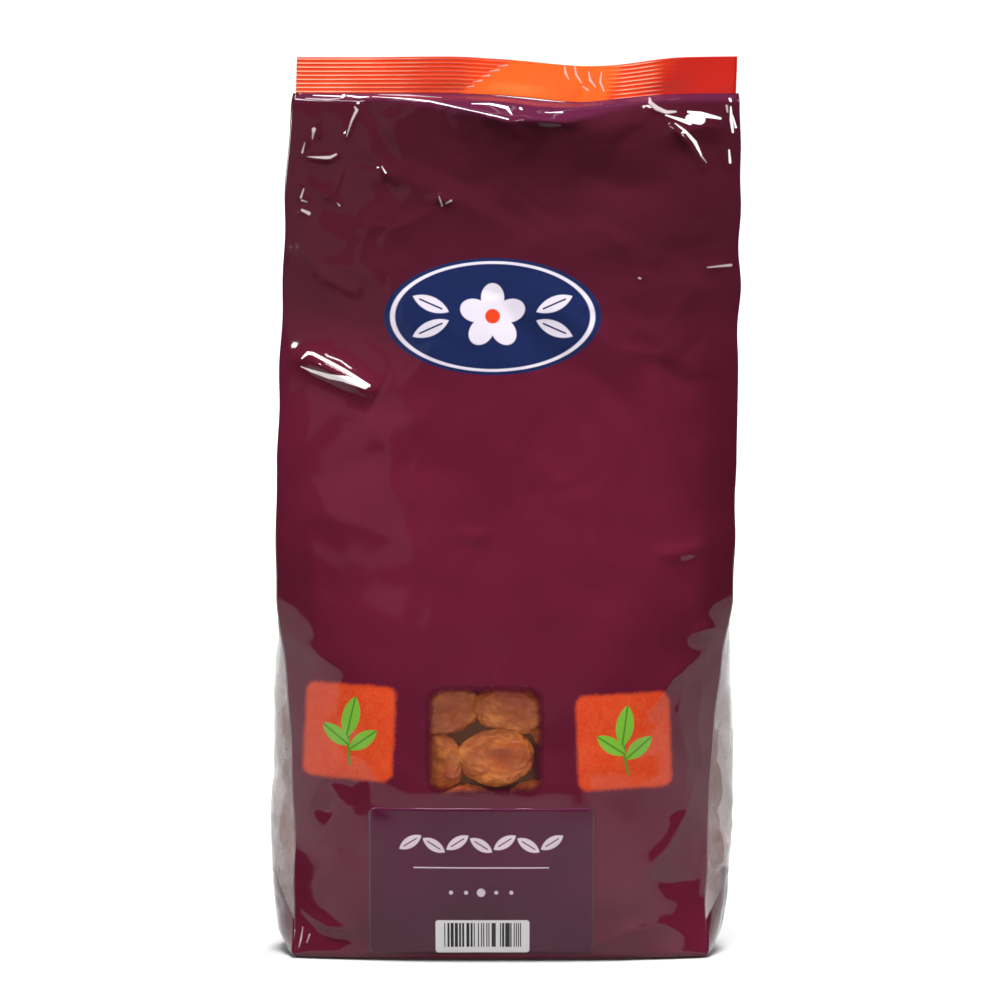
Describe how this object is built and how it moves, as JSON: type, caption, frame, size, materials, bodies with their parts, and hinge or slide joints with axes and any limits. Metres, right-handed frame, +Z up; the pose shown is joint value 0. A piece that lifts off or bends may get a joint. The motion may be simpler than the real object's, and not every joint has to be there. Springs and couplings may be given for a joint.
{
  "type": "bag of dried apricots",
  "caption": "Sealed side-gusseted bag of printed plastic film, filled with dried apricots that show through a window and clear sides.",
  "frame": {"origin": "bottom centre of the bag's box, on the surface that the bag stands on", "axes": "+Z up towards the header seal, -Y out of the printed front, +X to the right of someone who looks at the front"},
  "size_m": [0.192, 0.1054, 0.368],
  "materials": {
    "printed_film": "gloss",
    "clear_film": "clear gloss",
    "header_film": "gloss, crimped",
    "label_film": "semi-gloss",
    "dried_fruit": "soft, slightly sticky sheen"
  },
  "bodies": {
    "root": {"front_panel": "printed_film", "back_panel": "printed_film", "back_seal": "printed_film", "window_film": "clear_film", "gusset_left": "clear_film", "gusset_right": "clear_film", "top_seal": "header_film", "base_panel": "printed_film", "base_seal": "printed_film", "product_label": "label_film", "dried_apricot_1": "dried_fruit", "dried_apricot_2": "dried_fruit", "dried_apricot_3": "dried_fruit", "dried_apricot_4": "dried_fruit", "dried_apricot_5": "dried_fruit", "dried_apricot_6": "dried_fruit", "dried_apricot_7": "dried_fruit", "dried_apricot_8": "dried_fruit", "apricot_pile": "dried_fruit"}
  },
  "joints": []
}
